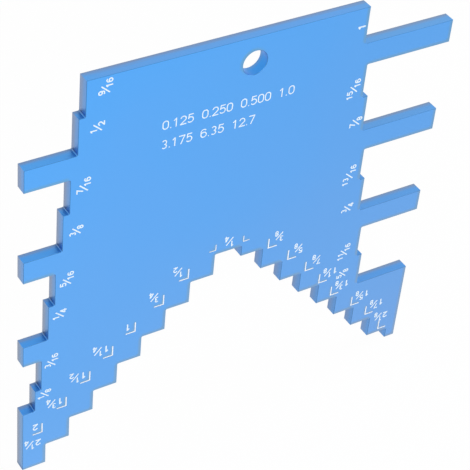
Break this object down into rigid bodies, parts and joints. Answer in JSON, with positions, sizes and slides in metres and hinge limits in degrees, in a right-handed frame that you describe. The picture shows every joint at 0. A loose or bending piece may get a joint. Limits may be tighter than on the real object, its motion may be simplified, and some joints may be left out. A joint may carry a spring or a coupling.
{
  "type": "saw height and router depth gauge",
  "caption": "Flat metal plate gauge: two stairs rise from its legs to a slot for saw heights, and stepped bays between tabs on both sides give router depths.",
  "frame": {"origin": "under the middle of the sheet, on the plane of the two leg tips", "axes": "+X across the width from the 1/8 to 9/16 inch side to the 5/8 to 1 inch side, -Y out of the engraved face, +Z from the leg tips to the top edge"},
  "size_m": [0.112, 0.0032, 0.1113],
  "materials": {
    "blue_anodised": "satin blue anodised sheet",
    "white_filling": "matt white filling"
  },
  "bodies": {
    "root": {"gauge_plate": "blue_anodised", "left_corner_marks": "white_filling", "right_corner_marks": "white_filling"}
  },
  "joints": []
}
